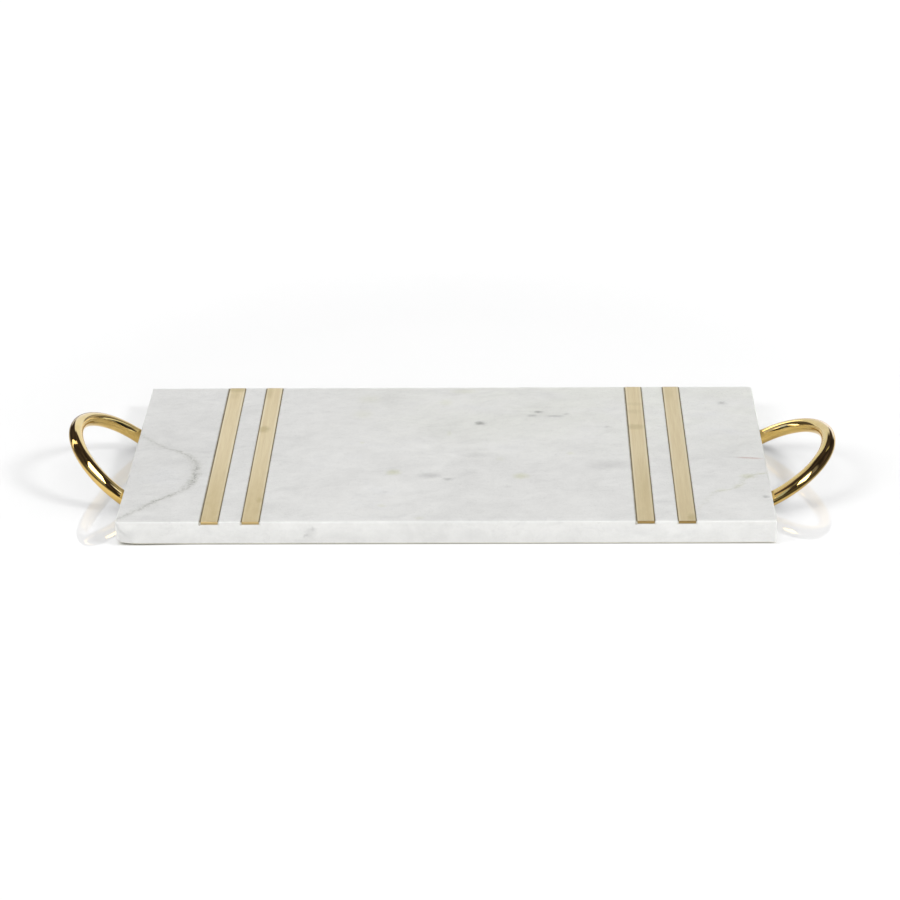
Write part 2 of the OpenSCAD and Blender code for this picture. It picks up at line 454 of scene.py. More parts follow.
# ---- node helpers
class Tree:
    """A material's nodes, made by short calls."""

    def __init__(self, name):
        self.material = bpy.data.materials.new(name)
        self.material.use_nodes = True
        self.nodes = self.material.node_tree.nodes
        self.links = self.material.node_tree.links
        self.nodes.clear()
        self.output = self.nodes.new("ShaderNodeOutputMaterial")
        self.point = self.add("TexCoord").outputs["Object"]
        self.mm = self.vec("SCALE", self.point, scale=1000)

    def add(self, kind, inputs=()):
        node = self.nodes.new("ShaderNode" + kind)
        for key, value in dict(inputs).items():
            self.feed(node.inputs[key], value)
        return node

    def feed(self, socket, value):
        if isinstance(value, bpy.types.NodeSocket):
            self.links.new(value, socket)
        else:
            socket.default_value = value

    def xyz(self, point):
        return self.add("SeparateXYZ", {"Vector": point}).outputs

    def math(self, operation, a, b=0, c=0, clamp=False):
        node = self.nodes.new("ShaderNodeMath")
        node.operation, node.use_clamp = operation, clamp
        for socket, value in zip(node.inputs, (a, b, c)):
            self.feed(socket, value)
        return node.outputs[0]

    def times(self, *factors):
        out = factors[0]
        for factor in factors[1:]:
            out = self.math("MULTIPLY", out, factor)
        return out

    def plus(self, a, b):
        return self.math("ADD", a, b)

    def minus(self, a, b):
        return self.math("SUBTRACT", a, b)

    def times_plus(self, a, b, c):
        return self.math("MULTIPLY_ADD", a, b, c)

    def abs(self, value):
        return self.math("ABSOLUTE", value)

    def vec(self, operation, a, b=(0, 0, 0), scale=None):
        node = self.nodes.new("ShaderNodeVectorMath")
        node.operation = operation
        self.feed(node.inputs[0], a)
        if scale is None:
            self.feed(node.inputs[1], b)
        else:
            self.feed(node.inputs["Scale"], scale)
        return node.outputs["Value" if operation == "LENGTH" else "Vector"]

    def noise(self, point, scale=1, detail=3, rough=0.6, distortion=0):
        return self.add("TexNoise", {
            "Vector": point, "Scale": scale, "Detail": detail,
            "Roughness": rough, "Distortion": distortion,
        }).outputs["Fac"]

    def bent(self, scale, detail, by_mm):
        """The point in millimetres, pushed about by noise."""
        colour = self.add("TexNoise", {
            "Vector": self.mm, "Scale": scale, "Detail": detail, "Roughness": 0.5,
        }).outputs["Color"]
        push = self.vec("SUBTRACT", colour, (0.5, 0.5, 0.5))
        return self.vec("ADD", self.mm, self.vec("SCALE", push, scale=by_mm))

    def ramp(self, value, low, high, to_low=0, to_high=1, smooth=True):
        """Goes from to_low to to_high between low and high, and stays level outside."""
        node = self.nodes.new("ShaderNodeMapRange")
        node.interpolation_type = "SMOOTHSTEP" if smooth else "LINEAR"
        node.clamp = True
        names = ("Value", "From Min", "From Max", "To Min", "To Max")
        for key, v in zip(names, (value, low, high, to_low, to_high)):
            self.feed(node.inputs[key], v)
        return node.outputs["Result"]

    def mix(self, factor, a, b, blend="MIX"):
        node = self.nodes.new("ShaderNodeMix")
        node.data_type, node.blend_type = "RGBA", blend
        for socket, v in zip((node.inputs[0], node.inputs[6], node.inputs[7]), (factor, a, b)):
            if isinstance(v, tuple) and len(v) == 3:
                v = (*v, 1)
            self.feed(socket, v)
        return node.outputs[2]

    def stretched(self, point, size_mm, turn_deg=0):
        """The point in units of size_mm along each axis, after a turn about Z."""
        turned = self.add("Mapping", {
            "Vector": point, "Rotation": (0, 0, math.radians(turn_deg)),
        }).outputs["Vector"]
        return self.vec("DIVIDE", turned, size_mm)

    def spot(self, point, centre, radii, edge=0.25):
        """1 inside an oval spot and 0 outside, with a soft edge."""
        d = self.vec("LENGTH", self.vec("DIVIDE", self.vec("SUBTRACT", point, centre), radii))
        return self.ramp(d, 1, edge)

    def curve(self, value, points, low, high):
        """A smooth curve through points (at, level from 0 to 1), read at value from low to high."""
        node = self.nodes.new("ShaderNodeFloatCurve")
        self.feed(node.inputs["Value"], self.ramp(value, low, high, smooth=False))
        line = node.mapping.curves[0]
        points = [((at - low) / (high - low), level) for at, level in points]
        line.points[0].location, line.points[1].location = points[0], points[-1]
        for point in points[1:-1]:
            line.points.new(*point)
        node.mapping.update()
        return node.outputs["Value"]

    def bump(self, height, strength, distance_mm):
        inputs = {"Height": height, "Strength": strength, "Distance": distance_mm * MM}
        return self.add("Bump", inputs).outputs["Normal"]

    def surface(self, colour, rough, normal, **more):
        inputs = {"Base Color": colour, "Roughness": rough, "Normal": normal, **more}
        return self.finish(self.add("BsdfPrincipled", inputs))

    def finish(self, shader):
        self.links.new(shader.outputs[0], self.output.inputs["Surface"])
        return self.material


# ---- marble
# The slab's right end, rear side and top
END_MM, SIDE_MM, TOP_MM = (round(float(v), 2) for v in SLAB_HIGH_MM)
# How deep the spots and stains go
SPOT_DEPTH_MM, FRONT_SPOT_DEPTH_MM, STAIN_DEPTH_MM = 8, 4, 6
MARBLE_WHITE = (0.745, 0.745, 0.726)
MARBLE_GREEN = (0.755, 0.762, 0.719)
MARBLE_COOL = (0.736, 0.741, 0.737)
# Clouds in the stone: size, and how much each darkens or lightens
CLOUDS = (
    ((130, 85, 85), 0.06), ((50, 30, 30), 0.15), ((21, 14, 14), 0.17),
    ((9, 6.5, 6.5), 0.12), ((4, 3, 3), 0.082), ((1.7, 1.4, 1.4), 0.06),
)
# Spots of grey mineral in the top: centre and radii along X and Y, and darkness
GREY_SPOTS = (
    (19.5, 42, 4.9, 4.3, 0.56), (19.5, 42, 13, 7, 0.05), (58, 60, 4.4, 3.2, 0.42),
    (69, 53, 8, 2.8, 0.32), (54, 54, 5.5, 3, 0.28), (61, 57, 22, 9, 0.07),
    (76, 56, 3.4, 2.6, 0.18), (46, 61, 9, 3, 0.08), (178.5, 73, 4.8, 4.4, 0.34),
    (-81, 61, 6, 4, 0.09), (102, 36, 3.6, 3, 0.2), (-11, -36, 12, 6.5, 0.24),
    (0.5, -41, 5.2, 3.6, 0.32), (38, -52, 4, 2.6, 0.1), (-38, -59, 3.8, 3, 0.1),
    (196, -67, 3.6, 3, 0.36), (31, -94, 11, 5, 0.07), (102, -21, 24, 10, 0.14),
    (19, -6, 17, 6, 0.14), (-176, -15, 20, 8, 0.035), (-190, -74, 16, 10, 0.04),
)
# The same in the front face, along X and Z
FRONT_SPOTS = (
    (-82, 8, 6.5, 7, 0.15), (-193, 7, 7, 6, 0.12), (120, 9, 18, 4, 0.04),
    (-80, 11, 2.6, 2.8, 0.16), (-84.5, 6.5, 2.2, 2.4, 0.2),
)
# Spots of olive mineral in the top: centre and radii along X and Y, and strength
OLIVE_SPOTS = (
    (-34, -31, 7, 6, 1), (46, -37, 7.5, 6.4, 1), (-54, 81, 12, 10, 0.3),
    (-57, 57, 10, 11, 0.3), (-3, 75, 7, 8, 0.35), (9, 93, 13, 6, 0.4), (78, -4, 3.4, 3, 0.5),
    (-39, -78, 4, 3.4, 0.4), (-16, -95, 5, 3.4, 0.4), (0, 27, 2, 6, 0.4),
    (-56, 13, 2.4, 2.4, 0.5), (33, -12, 4, 5, 0.25), (187, -38, 8, 5, 0.75),
    (170, -58, 7, 3.6, 0.35), (180, -52, 5, 4, 0.3), (196, -34, 6, 2.6, 0.5),
)
# How stained the stone is along the left and the right wall of each groove
GROOVE_STAIN = {
    "left_outer": (0.9, 0.24), "left_inner": (0.42, 0.26),
    "right_inner": (0.85, 0.26), "right_outer": (0.28, 0.2),
}


def vein(t, x, y, route, strength, wander):
    """How far a vein that runs along Y is from each point, and how strong it is there.

    route and strength are lists of (y, x) and (y, level from 0 to 1).
    """
    low, high = route[0][0], route[-1][0]
    west = min(at for _, at in route)
    span = max(at for _, at in route) - west
    shape = t.curve(y, [(at_y, (at_x - west) / span) for at_y, at_x in route], low, high)
    centre = t.plus(t.times_plus(shape, span, west), wander)
    off = t.abs(t.minus(x, centre))
    level = t.curve(y, strength, low, high)
    inside = t.times(t.ramp(y, low - 4, low + 4), t.ramp(y, high + 4, high - 4))
    return off, t.times(level, inside)


def top_spots(t, point, table, total):
    """The total with each of the table's spots in the slab's top added."""
    for cx, cy, rx, ry, amount in table:
        spot = t.spot(point, (cx, cy, TOP_MM), (rx, ry, SPOT_DEPTH_MM), 0)
        total = t.times_plus(spot, amount, total)
    return total


def marble():
    """Polished white marble with its clouds, spots and veins."""
    t = Tree("white_marble")
    x, y, z = t.xyz(t.mm)
    bent, ragged = t.bent(0.03, 3, 16), t.bent(0.4, 4, 4.6)
    speckle = t.noise(t.mm, 0.75, 4, 0.65)
    wander = t.times(t.minus(t.noise(t.mm, 0.16, 5, 0.62), 0.5), 12)

    dark = 0
    for turn, (size, amount) in enumerate(CLOUDS):
        cloud = t.noise(t.stretched(bent, size, 9 - 5 * turn), 1, 2, 0.55)
        dark = t.times_plus(t.minus(cloud, 0.5), amount, dark)
    # Smoky streaks, and faint healed cracks that run across them
    smoke = t.noise(t.stretched(bent, (30, 10, 12), -12), 1, 4, 0.6, 0.5)
    dark = t.times_plus(t.ramp(smoke, 0.52, 0.85), 0.09, dark)
    patches = t.ramp(t.noise(t.mm, 0.025), 0.45, 0.65)
    for size, turn, amount in (((34, 20, 20), -18, 0.045), ((16, 26, 18), 24, 0.03)):
        seam = t.noise(t.stretched(bent, size, turn))
        line = t.ramp(t.abs(t.minus(seam, 0.5)), 0.022, 0)
        line = t.times(line, t.ramp(speckle, 0.35, 0.6))
        dark = t.times_plus(t.times(line, patches), amount, dark)

    dark = top_spots(t, ragged, GREY_SPOTS, dark)
    for cx, cz, rx, rz, amount in FRONT_SPOTS:
        spot = t.spot(ragged, (cx, -SIDE_MM, cz), (rx, FRONT_SPOT_DEPTH_MM, rz), 0)
        dark = t.times_plus(spot, amount, dark)
    olive = top_spots(t, ragged, OLIVE_SPOTS, 0)

    # The bent grey vein at the left end
    off, level = vein(
        t, x, y,
        ((-98, -201), (-86, -191), (-78, -184), (-66, -174), (-57, -165), (-48, -160),
         (-38, -158.5), (-20, -158.5), (-10, -163), (0, -171), (8, -184), (28, -200)),
        ((-98, 0.5), (-80, 0.6), (-66, 0.85), (-56, 0.5), (-48, 0.7), (-40, 1),
         (-30, 0.8), (-18, 0.7), (-8, 0.5), (0, 0.6), (8, 0.45), (28, 0.3)), wander)
    body = t.times(t.ramp(off, 4.6, 0.2), t.ramp(speckle, 0.36, 0.62, 0.25, 1))
    core = t.times(t.ramp(off, 1.3, 0), t.ramp(speckle, 0.42, 0.55))
    dark = t.times_plus(t.times(body, level), 0.28, dark)
    dark = t.times_plus(t.times(core, level), 0.29, dark)
    dark = t.times_plus(t.times(t.ramp(off, 13, 1), level), 0.06, dark)
    olive = t.times_plus(t.times(body, level), 0.4, olive)

    # The faint olive vein at the right end
    off, level = vein(
        t, x, y,
        ((-86, 153), (-76, 157), (-66, 161), (-59, 167), (-56, 176), (-50, 182), (-42, 185),
         (-37, 190), (-33, 200)),
        ((-86, 0.5), (-76, 0.35), (-66, 0.3), (-59, 0.8), (-56, 0.9), (-50, 0.8), (-42, 0.8),
         (-37, 1), (-33, 0.9)),
        t.times(wander, 0.6))
    body = t.times(t.ramp(off, 3.6, 0.2), t.ramp(speckle, 0.38, 0.6, 0.1, 1))
    dark = t.times_plus(t.times(body, level), 0.12, dark)
    olive = t.times_plus(t.times(body, level), 0.5, olive)

    # The short rust line near the right end, and the grey one that leads to it
    line_y = t.times_plus(t.minus(x, 180), -0.12, -10.3)
    off = t.abs(t.times_plus(wander, 0.1, t.minus(y, line_y)))
    rust = t.times(t.ramp(off, 1.7, 0), t.ramp(x, 180, 187), t.ramp(x, 201, 193, 0, 0.75))
    smear = t.times(t.ramp(off, 2.4, 0), t.ramp(x, 170, 182), t.ramp(x, 190, 182))
    dark = t.times_plus(smear, 0.07, dark)

    # The grey vein runs on down the front face from the left corner, leaning to the right
    lean = 0.72
    off = t.times_plus(z, lean, t.plus(x, 199.5 - lean * 14))
    off = t.abs(t.times_plus(wander, 0.5, off))
    down = t.times(t.ramp(off, 2, 0), t.ramp(y, -98.6, -99.4), t.ramp(z, 4, 9))
    dark = t.times_plus(down, 0.12, dark)
    # The left end of the top is a shade greyer
    grey_end = t.times(t.ramp(x, -60, -170), t.ramp(y, 70, 20), t.ramp(z, 14.4, 14.8))
    dark = t.times_plus(grey_end, 0.03, dark)

    # Adhesive has stained the stone a little along the strips' grooves
    stained = 0
    for strip in STRIPS:
        for side, amount in zip(ADHESIVE_BOX_MM[strip], GROOVE_STAIN[strip]):
            near = t.ramp(t.abs(t.minus(x, float(side[0]))), 1, 0)
            stained = t.times_plus(near, amount, stained)
    stained = t.times(stained, t.ramp(z, 13.5, 14))
    stained = t.math("MULTIPLY", stained, t.ramp(speckle, 0.3, 0.6, 0.75, 1), clamp=True)

    # The ground colour: white, with a faint green cast in patches towards the rear right
    tint = t.noise(t.stretched(bent, (60, 34, 40), 6), 1, 4, 0.6)
    green = t.times(
        t.ramp(y, -30, 60), t.ramp(x, -110, 30), t.ramp(tint, 0.35, 0.62, 0.25, 1))
    colour = t.mix(green, MARBLE_WHITE, MARBLE_GREEN)
    colour = t.mix(t.ramp(tint, 0.42, 0.25, 0, 0.6), colour, MARBLE_COOL)
    colour = t.mix(olive, colour, t.mix(1, colour, (0.85, 0.86, 0.71), "MULTIPLY"))
    colour = t.mix(rust, colour, (0.52, 0.38, 0.34))
    colour = t.mix(stained, colour, (0.22, 0.18, 0.1))
    # Painted shade: the bottom 2 mm of the slab, its underside and lower edge, are painted duller
    # and a little tan, for the shade under the slab
    sawn_end_and_underside_shade = t.mix(1, colour, (0.92, 0.88, 0.72), "MULTIPLY")
    colour = t.mix(t.ramp(z, 2, 1.3), colour, sawn_end_and_underside_shade)
    # Painted light: the long sides are painted paler towards their upper rims and their right ends,
    # and darker low down and in the middle, for how the lamps fall on them; the top's front and
    # rear rims and the long sides get a little more, a painted highlight on the eased edges
    out_x, out_y = t.abs(x), t.abs(y)
    face = t.plus(t.ramp(z, 3, 14.5, -0.035, 0.045), t.ramp(out_x, 60, 190, -0.05, -0.02))
    face = t.plus(face, t.ramp(x, 60, 190, 0, 0.045))
    rim = t.ramp(out_y, 95, 99.6, 0, 0.04)
    pale = t.times_plus(t.ramp(out_y, 98.8, 99.5), face, rim)
    stone_and_painted_light = t.times(t.plus(1, pale), t.minus(1, dark))
    colour = t.vec("SCALE", colour, scale=stone_and_painted_light)

    grain = t.noise(t.mm, 1.6, 2, 0.6)
    height = t.plus(t.times(grain, 0.4), t.noise(t.mm, 0.25, 3, 0.5))
    normal = t.bump(height, 0.12, 0.08)
    # The eased upper edges are less polished
    beside = t.math("MAXIMUM", t.minus(out_x, END_MM - SIDE_MM), out_y)
    eased = t.times(t.ramp(beside, 98.6, 99.6), t.ramp(z, 14.4, 15.2))
    rough = t.ramp(grain, 0.3, 0.7, 0.27, 0.34)
    rough = t.times_plus(eased, 0.35, rough)
    return t.surface(colour, rough, normal, IOR=1.5)


# ---- brass inlay
# How dull each strip is at its front end
FRONT_DULLNESS = {
    "left_outer": 0.68, "left_inner": 0.6, "right_inner": 0.45, "right_outer": 0.25,
}
# Tarnish stains on each strip: centre and radii along X and Y, and strength
STRIP_STAINS = {
    "left_outer": ((-143, 97, 11, 6, 0.45), (-144, 88, 4, 9, 0.2)),
    "left_inner": ((-120.5, 34, 5.4, 7.5, 0.5), (-121.5, 92, 4, 14, 0.3), (-114.5, -70, 3, 5, 0.3)),
    "right_inner": (
        (120, 60, 8, 5, 0.16), (121, 72, 9, 4, 0.16), (120, 36, 9, 6, 0.34),
        (122, -40, 6, 40, 0.14),
    ),
    "right_outer": ((149, -95, 4, 7, 0.4), (144, 88, 5, 16, 0.15)),
}


def brass(name):
    """Satin brushed brass of one strip; its stains are its own."""
    low, high = box_mm(name + "_strip")
    middle = (low[0] + high[0]) / 2
    half = (high[0] - low[0]) / 2
    t = Tree("satin_brass_" + name)
    x, y, _ = t.xyz(t.mm)
    across = t.abs(t.math("DIVIDE", t.minus(x, middle), half))
    streaks = t.noise(t.stretched(t.mm, (0.32, 26, 4)), 1, 3, 0.7)
    broad = t.noise(t.stretched(t.mm, (2.2, 55, 9)))
    mottle = t.noise(t.stretched(t.mm, (4, 9, 9)), 1, 4, 0.6)

    colour = t.mix(t.ramp(streaks, 0.3, 0.7), (0.79, 0.67, 0.42), (0.89, 0.79, 0.52))
    colour = t.mix(t.times(t.ramp(broad, 0.35, 0.7), 0.35), colour, (0.72, 0.59, 0.34))
    # Worn bright just inside both edges
    edge = t.times(
        t.ramp(across, 0.66, 0.86), t.ramp(across, 0.97, 0.9), t.ramp(broad, 0.3, 0.6, 0.2, 0.5))
    colour = t.mix(edge, colour, (0.97, 0.91, 0.7))
    # Duller and browner towards the front end
    dull = t.ramp(y, 10, -95, 0, FRONT_DULLNESS[name])
    dull = t.times(dull, t.ramp(mottle, 0.25, 0.7, 0.6, 1))
    colour = t.mix(dull, colour, (0.625, 0.51, 0.255))
    ragged = t.bent(0.4, 2, 2.5)
    for cx, cy, rx, ry, strength in STRIP_STAINS[name]:
        spot = t.spot(ragged, (cx, cy, TOP_MM), (rx, ry, STAIN_DEPTH_MM))
        colour = t.mix(t.times(spot, strength), colour, (0.5, 0.41, 0.17))
    # Tarnish along the outermost edges and across both saw-cut ends
    ends = t.math("MINIMUM", t.minus(y, low[1]), t.minus(high[1], y))
    rim = t.math("MAXIMUM", t.ramp(across, 0.935, 0.975), t.ramp(ends, 0.7, 0.35, 0, 0.35))
    colour = t.mix(t.times(rim, 0.85), colour, (0.3, 0.22, 0.1))
    sawn_end_and_underside_shade = t.mix(t.ramp(x, -50, 50), (0.5, 0.37, 0.17), (0.38, 0.26, 0.1))
    colour = t.mix(t.ramp(ends, 0.3, 0.16), colour, sawn_end_and_underside_shade)
    height = t.plus(streaks, t.times(mottle, 0.3))
    normal = t.bump(height, 0.22, 0.05)
    rough = t.ramp(streaks, 0.2, 0.8, 0.34, 0.46)
    return t.surface(colour, rough, normal, Metallic=1)


# ---- other materials
def gold():
    """Polished gold, a little wavy, with faint wiping marks."""
    t = Tree("polished_gold")
    scratches = t.noise(t.stretched(t.mm, (1.2, 1.2, 1.2)), 3, 4, 0.7)
    waves = t.noise(t.mm, 0.12, 2, 0.5)
    colour = t.mix(t.ramp(waves, 0.3, 0.7), (0.74, 0.5, 0.155), (0.79, 0.545, 0.18))
    rough = t.ramp(scratches, 0.35, 0.75, 0.03, 0.06)
    normal = t.bump(t.noise(t.mm, 0.28, 3, 0.55), 0.1, 0.25)
    return t.surface(colour, rough, normal, Metallic=1)


def joint_adhesive():
    """Dark aged adhesive, as it shows in the lines beside the strips."""
    t = Tree("joint_adhesive")
    lumps = t.noise(t.mm, 0.9)
    runs = t.noise(t.stretched(t.mm, (4, 14, 4)))
    colour = t.mix(t.ramp(lumps, 0.3, 0.7), (0.11, 0.09, 0.045), (0.19, 0.155, 0.08))
    colour = t.mix(t.ramp(runs, 0.45, 0.75), colour, (0.27, 0.23, 0.13))
    # Polished flush and full of marble dust at the ends of the strips
    y = t.xyz(t.mm)[1]
    colour = t.mix(t.ramp(t.abs(y), 99.5, 99.9), colour, (0.6, 0.58, 0.5))
    rough = t.ramp(lumps, 0.3, 0.7, 0.55, 0.75)
    return t.surface(colour, rough, t.bump(lumps, 0.4, 0.2))


def steel():
    t = Tree("pin_steel")
    turned = t.noise(t.stretched(t.mm, (0.15, 6, 6)))
    colour = t.mix(t.ramp(turned, 0.3, 0.7), (0.48, 0.48, 0.49), (0.6, 0.6, 0.61))
    rough = t.ramp(turned, 0.3, 0.7, 0.28, 0.4)
    normal = t.bump(turned, 0.3, 0.03)
    return t.surface(colour, rough, normal, Metallic=1)


def epoxy():
    t = Tree("cured_epoxy")
    cells = t.add("TexVoronoi", {"Vector": t.mm, "Scale": 0.9}).outputs["Distance"]
    bubbles = t.ramp(cells, 0.08, 0.2)
    cloud = t.noise(t.mm, 0.3, 3, 0.5)
    colour = t.mix(t.ramp(cloud, 0.3, 0.7), (0.66, 0.58, 0.36), (0.76, 0.69, 0.47))
    colour = t.mix(bubbles, (0.82, 0.78, 0.62), colour)
    rough = t.ramp(cloud, 0.3, 0.7, 0.14, 0.24)
    return t.surface(colour, rough, t.bump(bubbles, 0.3, 0.1))


def foot_pad():
    t = Tree("foot_pad")
    pores = t.noise(t.mm, 2.4)
    cloud = t.noise(t.mm, 0.2, 2, 0.5)
    colour = t.mix(t.ramp(cloud, 0.3, 0.7), (0.6, 0.6, 0.58), (0.7, 0.7, 0.68))
    colour = t.mix(t.ramp(pores, 0.6, 0.8), colour, (0.48, 0.48, 0.46))
    rough = t.ramp(pores, 0.3, 0.7, 0.5, 0.68)
    return t.surface(colour, rough, t.bump(pores, 0.3, 0.05))


def foot_film():
    t = Tree("foot_film")
    cloud = t.noise(t.mm, 0.5, 3, 0.5)
    colour = t.mix(t.ramp(cloud, 0.3, 0.7), (0.5, 0.53, 0.55), (0.62, 0.64, 0.65))
    rough = t.ramp(cloud, 0.3, 0.7, 0.35, 0.5)
    return t.surface(colour, rough, t.bump(cloud, 0.2, 0.03))


# ---- assembly
def dress(ob, material):
    """Makes the material the object's only one."""
    ob.data.materials.clear()
    ob.data.materials.append(material)


PIECES = []


def add_piece(ob, material, node):
    """Dresses a piece that stands for the CAD node."""
    PIECES.append(ob)
    dress(ob, material)
    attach(ob, BODY)
    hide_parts(node)


add_piece(build_slab(), marble(), "marble_slab")
joint_material, gold_material = joint_adhesive(), gold()
for strip in STRIPS:
    add_piece(build_strip(strip), brass(strip), strip + "_strip")
    add_piece(build_adhesive(strip), joint_material, strip + "_adhesive")
for side in HANDLES:
    add_piece(build_handle(side), gold_material, side + "_handle")
pad_material, film_material = foot_pad(), foot_film()
steel_material, epoxy_material = steel(), epoxy()
for corner in CORNERS:
    add_piece(build_foot(corner), pad_material, corner + "_foot")
    dress(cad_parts[corner + "_foot_film"], film_material)
    dress(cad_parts[corner + "_pin"], steel_material)
    dress(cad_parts[corner + "_epoxy"], epoxy_material)


# ---- stage
scene = bpy.context.scene
scene.view_settings.view_transform = "Standard"
scene.view_settings.look = "None"
scene.cycles.caustics_reflective = scene.cycles.caustics_refractive = False


def direction(azimuth, elevation):
    """A unit vector. Azimuth 0 is the rear and 90 the right, in degrees."""
    a, e = math.radians(azimuth), math.radians(elevation)
    return Vector((math.sin(a) * math.cos(e), math.cos(a) * math.cos(e), math.sin(e)))


def light_only(ob, *receivers):
    """Makes a lamp or a glowing mesh light only the receivers."""
    lit = bpy.data.collections.new(ob.name + "_lights")
    for receiver in receivers:
        lit.objects.link(receiver)
    ob.light_linking.receiver_collection = lit


def see_through_glow(t, colour, strength=1):
    """The tree's surface glows, and lets what is behind it shine through."""
    glow = t.add("Emission", {"Color": colour, "Strength": strength}).outputs[0]
    clear = t.add("BsdfTransparent", {"Color": (1, 1, 1, 1)}).outputs[0]
    return t.finish(t.add("AddShader", {0: glow, 1: clear}))


def only_in_reflections(ob, material, *receivers):
    """Makes a glowing mesh show in the receivers' reflections and nowhere else."""
    dress(ob, material)
    ob.visible_camera = ob.visible_diffuse = ob.visible_shadow = False
    ob.visible_transmission = ob.visible_volume_scatter = False
    light_only(ob, *receivers)


# The right handle's ring over the floor, in millimetres: how far its middle lies in front
# of the tray's, its radius, the stretch along X that undoes its tilt, and the rod's height
# at the slab's end and rise beyond it
RING_FORWARD, RING_RADIUS, RING_STRETCH, ROD_HEIGHT, ROD_RISE = 8, 45, 1.14, 8, 0.35


def floor_seen_in_metal(t):
    """How bright the floor is from each place, as polished metal sees it.

    It darkens beyond the left end, and in front of the right handle and to its right.
    """
    x, y, _ = t.xyz(t.mm)
    leftward = t.times_plus(y, -0.25, x)
    level = t.ramp(leftward, -275, -355, 1, 0.42)
    level = t.times(level, t.ramp(leftward, -420, -580, 1, 0.38))
    # Distance in front of the right handle's ring, against the rod's height there
    past_end = t.minus(x, END_MM)
    ring = t.add("CombineXYZ", {
        "X": t.times(past_end, RING_STRETCH), "Y": t.plus(y, RING_FORWARD),
    }).outputs[0]
    beyond = t.minus(t.vec("LENGTH", ring), RING_RADIUS)
    height = t.math("MAXIMUM", t.times_plus(past_end, ROD_RISE, ROD_HEIGHT), 4)
    shade = t.ramp(t.math("DIVIDE", beyond, height), 0.65, 1.25)
    shade = t.times(shade, t.ramp(y, -12, -34), t.ramp(t.plus(x, y), 110, 130))
    # Dark to the right of the ring too
    rightward = t.times_plus(y, -0.6, t.times(x, 0.8))
    shade = t.math("MAXIMUM", shade, t.ramp(rightward, 195, 250))
    return t.times(level, t.times_plus(shade, -0.92, 1))


# The floor's paleness, the share of it that mirrors, and its glow where it is even
FLOOR_PALE, FLOOR_GLOSS, FLOOR_GLOW = 0.88, 0.16, 1.05


def floor_material():
    """A pale glossy floor that turns into even white light far from the tray."""
    t = Tree("studio_floor")
    from_metal = t.add("LightPath").outputs["Is Glossy Ray"]
    seen = t.ramp(from_metal, 0, 1, 1, floor_seen_in_metal(t), smooth=False)
    white = t.add("CombineColor", {0: seen, 1: seen, 2: seen}).outputs[0]
    pale = t.vec("SCALE", white, scale=FLOOR_PALE)
    diffuse = t.add("BsdfDiffuse", {"Color": pale}).outputs[0]
    gloss = t.add("BsdfGlossy", {"Color": white, "Roughness": 0.03}).outputs[0]
    near = t.add("MixShader", {0: FLOOR_GLOSS, 1: diffuse, 2: gloss}).outputs[0]
    glow = t.add("Emission", {"Color": white, "Strength": FLOOR_GLOW}).outputs[0]
    # The bare floor in front is even too, up to the gap under the slab
    x, y, _ = t.xyz(t.mm)
    front = t.plus(y, t.ramp(x, -150, -192, 0, 1.2))
    front = t.times(t.ramp(front, -97.6, -99.4), t.ramp(t.abs(x), 202, 197))
    even = t.math("MAXIMUM", front, t.ramp(t.vec("LENGTH", t.point), 0.25, 0.48))
    return t.finish(t.add("MixShader", {0: even, 1: near, 2: glow}))


def rectangle(width, height):
    """The corners of a flat rectangle round the origin."""
    w, h = width / 2, height / 2
    return [(-w, -h, 0), (w, -h, 0), (w, h, 0), (-w, h, 0)]


def make_floor():
    ob = new_object("floor", rectangle(40, 40), [[0, 1, 2, 3]])
    dress(ob, floor_material())
    return ob


def glowing_quad(name, corners, strength, receivers):
    """A glowing quad that shows only in the receivers' reflections."""
    ob = new_object(name, corners, [[0, 1, 2, 3]])
    only_in_reflections(ob, see_through_glow(Tree(name), (1, 1, 1, 1), strength), *receivers)


def card(name, azimuth, elevation, distance, width, height, strength, receivers):
    """A glowing rectangle that faces the tray."""
    back = direction(azimuth, elevation)
    turn = (-back).to_track_quat("-Z", "Y").to_matrix()
    corners = [back * distance + turn @ Vector(c) for c in rectangle(width, height)]
    glowing_quad(name, corners, strength, receivers)


def panels(name, distance, table, receivers):
    """Glowing quads with crisp edges, each from its strength and its corners' directions."""
    for n, (strength, *corners) in enumerate(table):
        points = [direction(*corner) * distance for corner in corners]
        glowing_quad(f"{name}_{n}", points, strength, receivers)


def key_light(name, azimuth, elevation, distance, size, power):
    """A soft square lamp that faces the tray and shows in no reflection."""
    back = direction(azimuth, elevation)
    lamp = bpy.data.lights.new(name, "AREA")
    lamp.shape, lamp.size, lamp.energy = "SQUARE", size, power
    ob = bpy.data.objects.new(name, lamp)
    ob.location = back * distance
    ob.rotation_mode = "QUATERNION"
    ob.rotation_quaternion = (-back).to_track_quat("-Z", "Y")
    ob.visible_glossy = ob.visible_camera = False
    scene.collection.objects.link(ob)
    return ob


def dome(name, radius):
    """A half sphere of even quads over the floor."""
    rings, steps = 12, 32
    verts = [(0, 0, radius)]
    for i in range(1, rings + 1):
        a = math.pi / 2 * i / rings
        for j in range(steps):
            b = math.tau * j / steps
            across = radius * math.sin(a)
            verts.append((across * math.cos(b), across * math.sin(b), radius * math.cos(a)))
    faces = [[0, 1 + j, 1 + (j + 1) % steps] for j in range(steps)]
    for i in range(rings - 1):
        for j in range(steps):
            a, b = 1 + i * steps + j, 1 + i * steps + (j + 1) % steps
            faces.append([a, a + steps, b + steps, b])
    return new_object(name, verts, faces)


